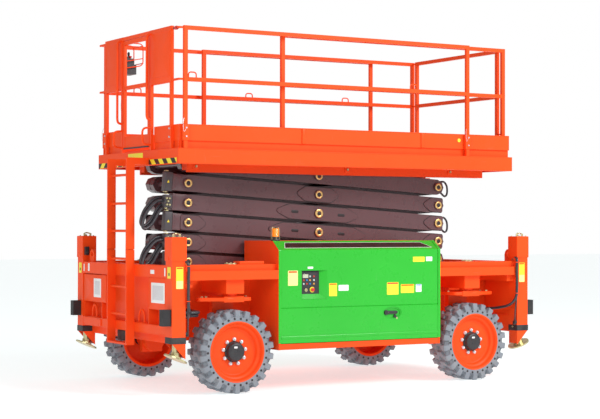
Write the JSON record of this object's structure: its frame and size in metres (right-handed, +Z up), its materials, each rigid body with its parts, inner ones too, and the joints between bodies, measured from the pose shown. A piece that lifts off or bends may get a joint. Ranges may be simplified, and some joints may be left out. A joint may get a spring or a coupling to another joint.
{
  "type": "rough-terrain scissor lift",
  "caption": "Self-propelled rough-terrain scissor lift with outriggers, side cabinets, stacked scissor frames, a railed platform and a roll-out extension deck.",
  "frame": {"origin": "on the ground, midway between the axles and between the two sides", "axes": "+X along the machine away from the ladder, +Y to the far side, +Z up"},
  "size_m": [4.5206, 2.457, 3.65],
  "materials": {
    "orange_paint": "gloss powder-coat orange",
    "dark_grey_paint": "satin dark grey paint",
    "green_paint": "gloss bright green paint",
    "tyre": "light grey non-marking solid rubber",
    "black_rubber": "matt black rubber",
    "yellow_zinc": "yellow-passivated zinc plate",
    "chrome": "polished chrome rod",
    "black_plastic": "fine-textured black plastic",
    "amber_lens": "translucent amber lens",
    "battery_case": "plain dark battery case",
    "deck_plate": "chequered aluminium deck plate"
  },
  "bodies": {
    "chassis": {"chassis_frame": "orange_paint", "outrigger_leg_left_near": "orange_paint", "outrigger_leg_left_far": "orange_paint", "outrigger_leg_right_near": "orange_paint", "outrigger_leg_right_far": "orange_paint", "leg_bumper_left_near": "black_rubber", "leg_bumper_left_far": "black_rubber", "leg_bumper_right_near": "black_rubber", "leg_bumper_right_far": "black_rubber", "cabinet_near": "orange_paint", "cabinet_far": "orange_paint", "battery_pack": "battery_case", "ground_control_panel": "black_plastic", "beacon": "amber_lens", "ladder_lower": "orange_paint"},
    "knuckle_left_near": {"knuckle_left_near": "orange_paint"},
    "wheel_left_near": {"rim_left_near": "orange_paint", "tyre_left_near": "tyre"},
    "outrigger_foot_left_near": {"outrigger_foot_left_near": "yellow_zinc"},
    "knuckle_left_far": {"knuckle_left_far": "orange_paint"},
    "wheel_left_far": {"rim_left_far": "orange_paint", "tyre_left_far": "tyre"},
    "outrigger_foot_left_far": {"outrigger_foot_left_far": "yellow_zinc"},
    "knuckle_right_near": {"knuckle_right_near": "orange_paint"},
    "wheel_right_near": {"rim_right_near": "orange_paint", "tyre_right_near": "tyre"},
    "outrigger_foot_right_near": {"outrigger_foot_right_near": "yellow_zinc"},
    "knuckle_right_far": {"knuckle_right_far": "orange_paint"},
    "wheel_right_far": {"rim_right_far": "orange_paint", "tyre_right_far": "tyre"},
    "outrigger_foot_right_far": {"outrigger_foot_right_far": "yellow_zinc"},
    "cabinet_door_near": {"cabinet_door_near": "green_paint"},
    "cabinet_door_far": {"cabinet_door_far": "green_paint"},
    "scissor_inner_1": {"scissor_inner_1": "dark_grey_paint"},
    "scissor_outer_1": {"scissor_outer_1": "dark_grey_paint"},
    "scissor_inner_2": {"scissor_inner_2": "dark_grey_paint"},
    "scissor_outer_2": {"scissor_outer_2": "dark_grey_paint"},
    "scissor_inner_3": {"scissor_inner_3": "dark_grey_paint"},
    "scissor_outer_3": {"scissor_outer_3": "dark_grey_paint"},
    "scissor_inner_4": {"scissor_inner_4": "dark_grey_paint"},
    "scissor_outer_4": {"scissor_outer_4": "dark_grey_paint"},
    "scissor_inner_5": {"scissor_inner_5": "dark_grey_paint"},
    "scissor_outer_5": {"scissor_outer_5": "dark_grey_paint"},
    "scissor_inner_6": {"scissor_inner_6": "dark_grey_paint"},
    "scissor_outer_6": {"scissor_outer_6": "dark_grey_paint"},
    "platform": {"deck_frame": "orange_paint", "guardrail_near": "orange_paint", "guardrail_far": "orange_paint", "entry_panel": "orange_paint", "ladder_upper": "orange_paint", "platform_control_box": "black_plastic", "control_cable": "black_rubber"},
    "entry_gate": {"entry_gate": "orange_paint"},
    "extension": {"extension_deck": "deck_plate", "extension_guardrail": "orange_paint"},
    "lift_barrel_lower": {"lift_cylinder_barrel_lower": "dark_grey_paint"},
    "lift_rod_lower": {"lift_cylinder_rod_lower": "chrome"},
    "lift_barrel_upper": {"lift_cylinder_barrel_upper": "dark_grey_paint"},
    "lift_rod_upper": {"lift_cylinder_rod_upper": "chrome"}
  },
  "joints": [
    {"name": "steer_left_near", "type": "hinge", "parent": "chassis", "child": "knuckle_left_near", "pos_m": [-1.4525, -1.02, 0.41541], "axis": [0, 0, 1], "range_deg": [-25, 25]},
    {"name": "wheel_left_near", "type": "hinge", "parent": "knuckle_left_near", "child": "wheel_left_near", "pos_m": [-1.4525, -1.0375, 0.41541], "axis": [0, 1, 0], "continuous": true},
    {"name": "outrigger_left_near", "type": "slide", "parent": "chassis", "child": "outrigger_foot_left_near", "axis": [0, 0, -1], "range_m": [0, 0.4]},
    {"name": "steer_left_far", "type": "hinge", "parent": "chassis", "child": "knuckle_left_far", "pos_m": [-1.4525, 1.02, 0.41541], "axis": [0, 0, 1], "range_deg": [-25, 25]},
    {"name": "wheel_left_far", "type": "hinge", "parent": "knuckle_left_far", "child": "wheel_left_far", "pos_m": [-1.4525, 1.0375, 0.41541], "axis": [0, 1, 0], "continuous": true},
    {"name": "outrigger_left_far", "type": "slide", "parent": "chassis", "child": "outrigger_foot_left_far", "axis": [0, 0, -1], "range_m": [0, 0.4]},
    {"name": "steer_right_near", "type": "hinge", "parent": "chassis", "child": "knuckle_right_near", "pos_m": [1.4525, -1.02, 0.41541], "axis": [0, 0, 1], "range_deg": [-25, 25]},
    {"name": "wheel_right_near", "type": "hinge", "parent": "knuckle_right_near", "child": "wheel_right_near", "pos_m": [1.4525, -1.0375, 0.41541], "axis": [0, 1, 0], "continuous": true},
    {"name": "outrigger_right_near", "type": "slide", "parent": "chassis", "child": "outrigger_foot_right_near", "axis": [0, 0, -1], "range_m": [0, 0.4]},
    {"name": "steer_right_far", "type": "hinge", "parent": "chassis", "child": "knuckle_right_far", "pos_m": [1.4525, 1.02, 0.41541], "axis": [0, 0, 1], "range_deg": [-25, 25]},
    {"name": "wheel_right_far", "type": "hinge", "parent": "knuckle_right_far", "child": "wheel_right_far", "pos_m": [1.4525, 1.0375, 0.41541], "axis": [0, 1, 0], "continuous": true},
    {"name": "outrigger_right_far", "type": "slide", "parent": "chassis", "child": "outrigger_foot_right_far", "axis": [0, 0, -1], "range_m": [0, 0.4]},
    {"name": "cabinet_door_near", "type": "hinge", "parent": "chassis", "child": "cabinet_door_near", "pos_m": [0, -1.06, 1.51], "axis": [-1, 0, 0], "range_deg": [0, 75]},
    {"name": "cabinet_door_far", "type": "hinge", "parent": "chassis", "child": "cabinet_door_far", "pos_m": [0, 1.06, 1.51], "axis": [1, 0, 0], "range_deg": [0, 75]},
    {"name": "lift", "type": "hinge", "parent": "chassis", "child": "scissor_inner_1", "pos_m": [-1.6305, 0, 1.09], "axis": [0, -1, 0], "range_deg": [0, 56.3]},
    {"name": "cross_1", "type": "hinge", "parent": "scissor_inner_1", "child": "scissor_outer_1", "pos_m": [-0.0685, 0, 1.191], "axis": [0, 1, 0], "range_deg": [0, 112.6]},
    {"name": "link_2", "type": "hinge", "parent": "scissor_outer_1", "child": "scissor_inner_2", "pos_m": [-1.6305, 0, 1.292], "axis": [0, -1, 0], "range_deg": [0, 112.6]},
    {"name": "cross_2", "type": "hinge", "parent": "scissor_inner_2", "child": "scissor_outer_2", "pos_m": [-0.0685, 0, 1.393], "axis": [0, 1, 0], "range_deg": [0, 112.6]},
    {"name": "link_3", "type": "hinge", "parent": "scissor_outer_2", "child": "scissor_inner_3", "pos_m": [-1.6305, 0, 1.494], "axis": [0, -1, 0], "range_deg": [0, 112.6]},
    {"name": "cross_3", "type": "hinge", "parent": "scissor_inner_3", "child": "scissor_outer_3", "pos_m": [-0.0685, 0, 1.595], "axis": [0, 1, 0], "range_deg": [0, 112.6]},
    {"name": "link_4", "type": "hinge", "parent": "scissor_outer_3", "child": "scissor_inner_4", "pos_m": [-1.6305, 0, 1.696], "axis": [0, -1, 0], "range_deg": [0, 112.6]},
    {"name": "cross_4", "type": "hinge", "parent": "scissor_inner_4", "child": "scissor_outer_4", "pos_m": [-0.0685, 0, 1.797], "axis": [0, 1, 0], "range_deg": [0, 112.6]},
    {"name": "link_5", "type": "hinge", "parent": "scissor_outer_4", "child": "scissor_inner_5", "pos_m": [-1.6305, 0, 1.898], "axis": [0, -1, 0], "range_deg": [0, 112.6]},
    {"name": "cross_5", "type": "hinge", "parent": "scissor_inner_5", "child": "scissor_outer_5", "pos_m": [-0.0685, 0, 1.999], "axis": [0, 1, 0], "range_deg": [0, 112.6]},
    {"name": "link_6", "type": "hinge", "parent": "scissor_outer_5", "child": "scissor_inner_6", "pos_m": [-1.6305, 0, 2.1], "axis": [0, -1, 0], "range_deg": [0, 112.6]},
    {"name": "cross_6", "type": "hinge", "parent": "scissor_inner_6", "child": "scissor_outer_6", "pos_m": [-0.0685, 0, 2.201], "axis": [0, 1, 0], "range_deg": [0, 112.6]},
    {"name": "platform_level", "type": "hinge", "parent": "scissor_outer_6", "child": "platform", "pos_m": [-1.6305, 0, 2.302], "axis": [0, -1, 0], "range_deg": [0, 56.3]},
    {"name": "entry_gate", "type": "hinge", "parent": "platform", "child": "entry_gate", "pos_m": [-1.978, -0.304, 2.47], "axis": [0, 0, -1], "range_deg": [0, 90]},
    {"name": "extension_slide", "type": "slide", "parent": "platform", "child": "extension", "axis": [1, 0, 0], "range_m": [0, 1.45]},
    {"name": "lift_barrel_lower", "type": "hinge", "parent": "scissor_inner_1", "child": "lift_barrel_lower", "pos_m": [1.04444, 0, 1.26296], "axis": [0, 1, 0], "range_deg": [0, 121.92]},
    {"name": "lift_rod_lower", "type": "slide", "parent": "lift_barrel_lower", "child": "lift_rod_lower", "axis": [-0.9932, 0, 0.1161], "range_m": [0, 1.42346]},
    {"name": "lift_barrel_upper", "type": "hinge", "parent": "scissor_inner_4", "child": "lift_barrel_upper", "pos_m": [1.04444, 0, 1.86896], "axis": [0, 1, 0], "range_deg": [0, 121.92]},
    {"name": "lift_rod_upper", "type": "slide", "parent": "lift_barrel_upper", "child": "lift_rod_upper", "axis": [-0.9932, 0, 0.1161], "range_m": [0, 1.42346]}
  ],
  "couplings": [
    {"joint": "steer_left_far", "follows": "steer_left_near", "ratio": 1},
    {"joint": "steer_right_far", "follows": "steer_right_near", "ratio": 1},
    {"joint": "cross_1", "follows": "lift", "ratio": 2},
    {"joint": "link_2", "follows": "lift", "ratio": 2},
    {"joint": "cross_2", "follows": "lift", "ratio": 2},
    {"joint": "link_3", "follows": "lift", "ratio": 2},
    {"joint": "cross_3", "follows": "lift", "ratio": 2},
    {"joint": "link_4", "follows": "lift", "ratio": 2},
    {"joint": "cross_4", "follows": "lift", "ratio": 2},
    {"joint": "link_5", "follows": "lift", "ratio": 2},
    {"joint": "cross_5", "follows": "lift", "ratio": 2},
    {"joint": "link_6", "follows": "lift", "ratio": 2},
    {"joint": "cross_6", "follows": "lift", "ratio": 2},
    {"joint": "platform_level", "follows": "lift", "ratio": 1},
    {"joint": "lift_barrel_lower", "follows": "lift", "ratio": 2.1655},
    {"joint": "lift_rod_lower", "follows": "lift", "m_per_rad": 1.4485},
    {"joint": "lift_barrel_upper", "follows": "lift", "ratio": 2.1655},
    {"joint": "lift_rod_upper", "follows": "lift", "m_per_rad": 1.4485}
  ]
}
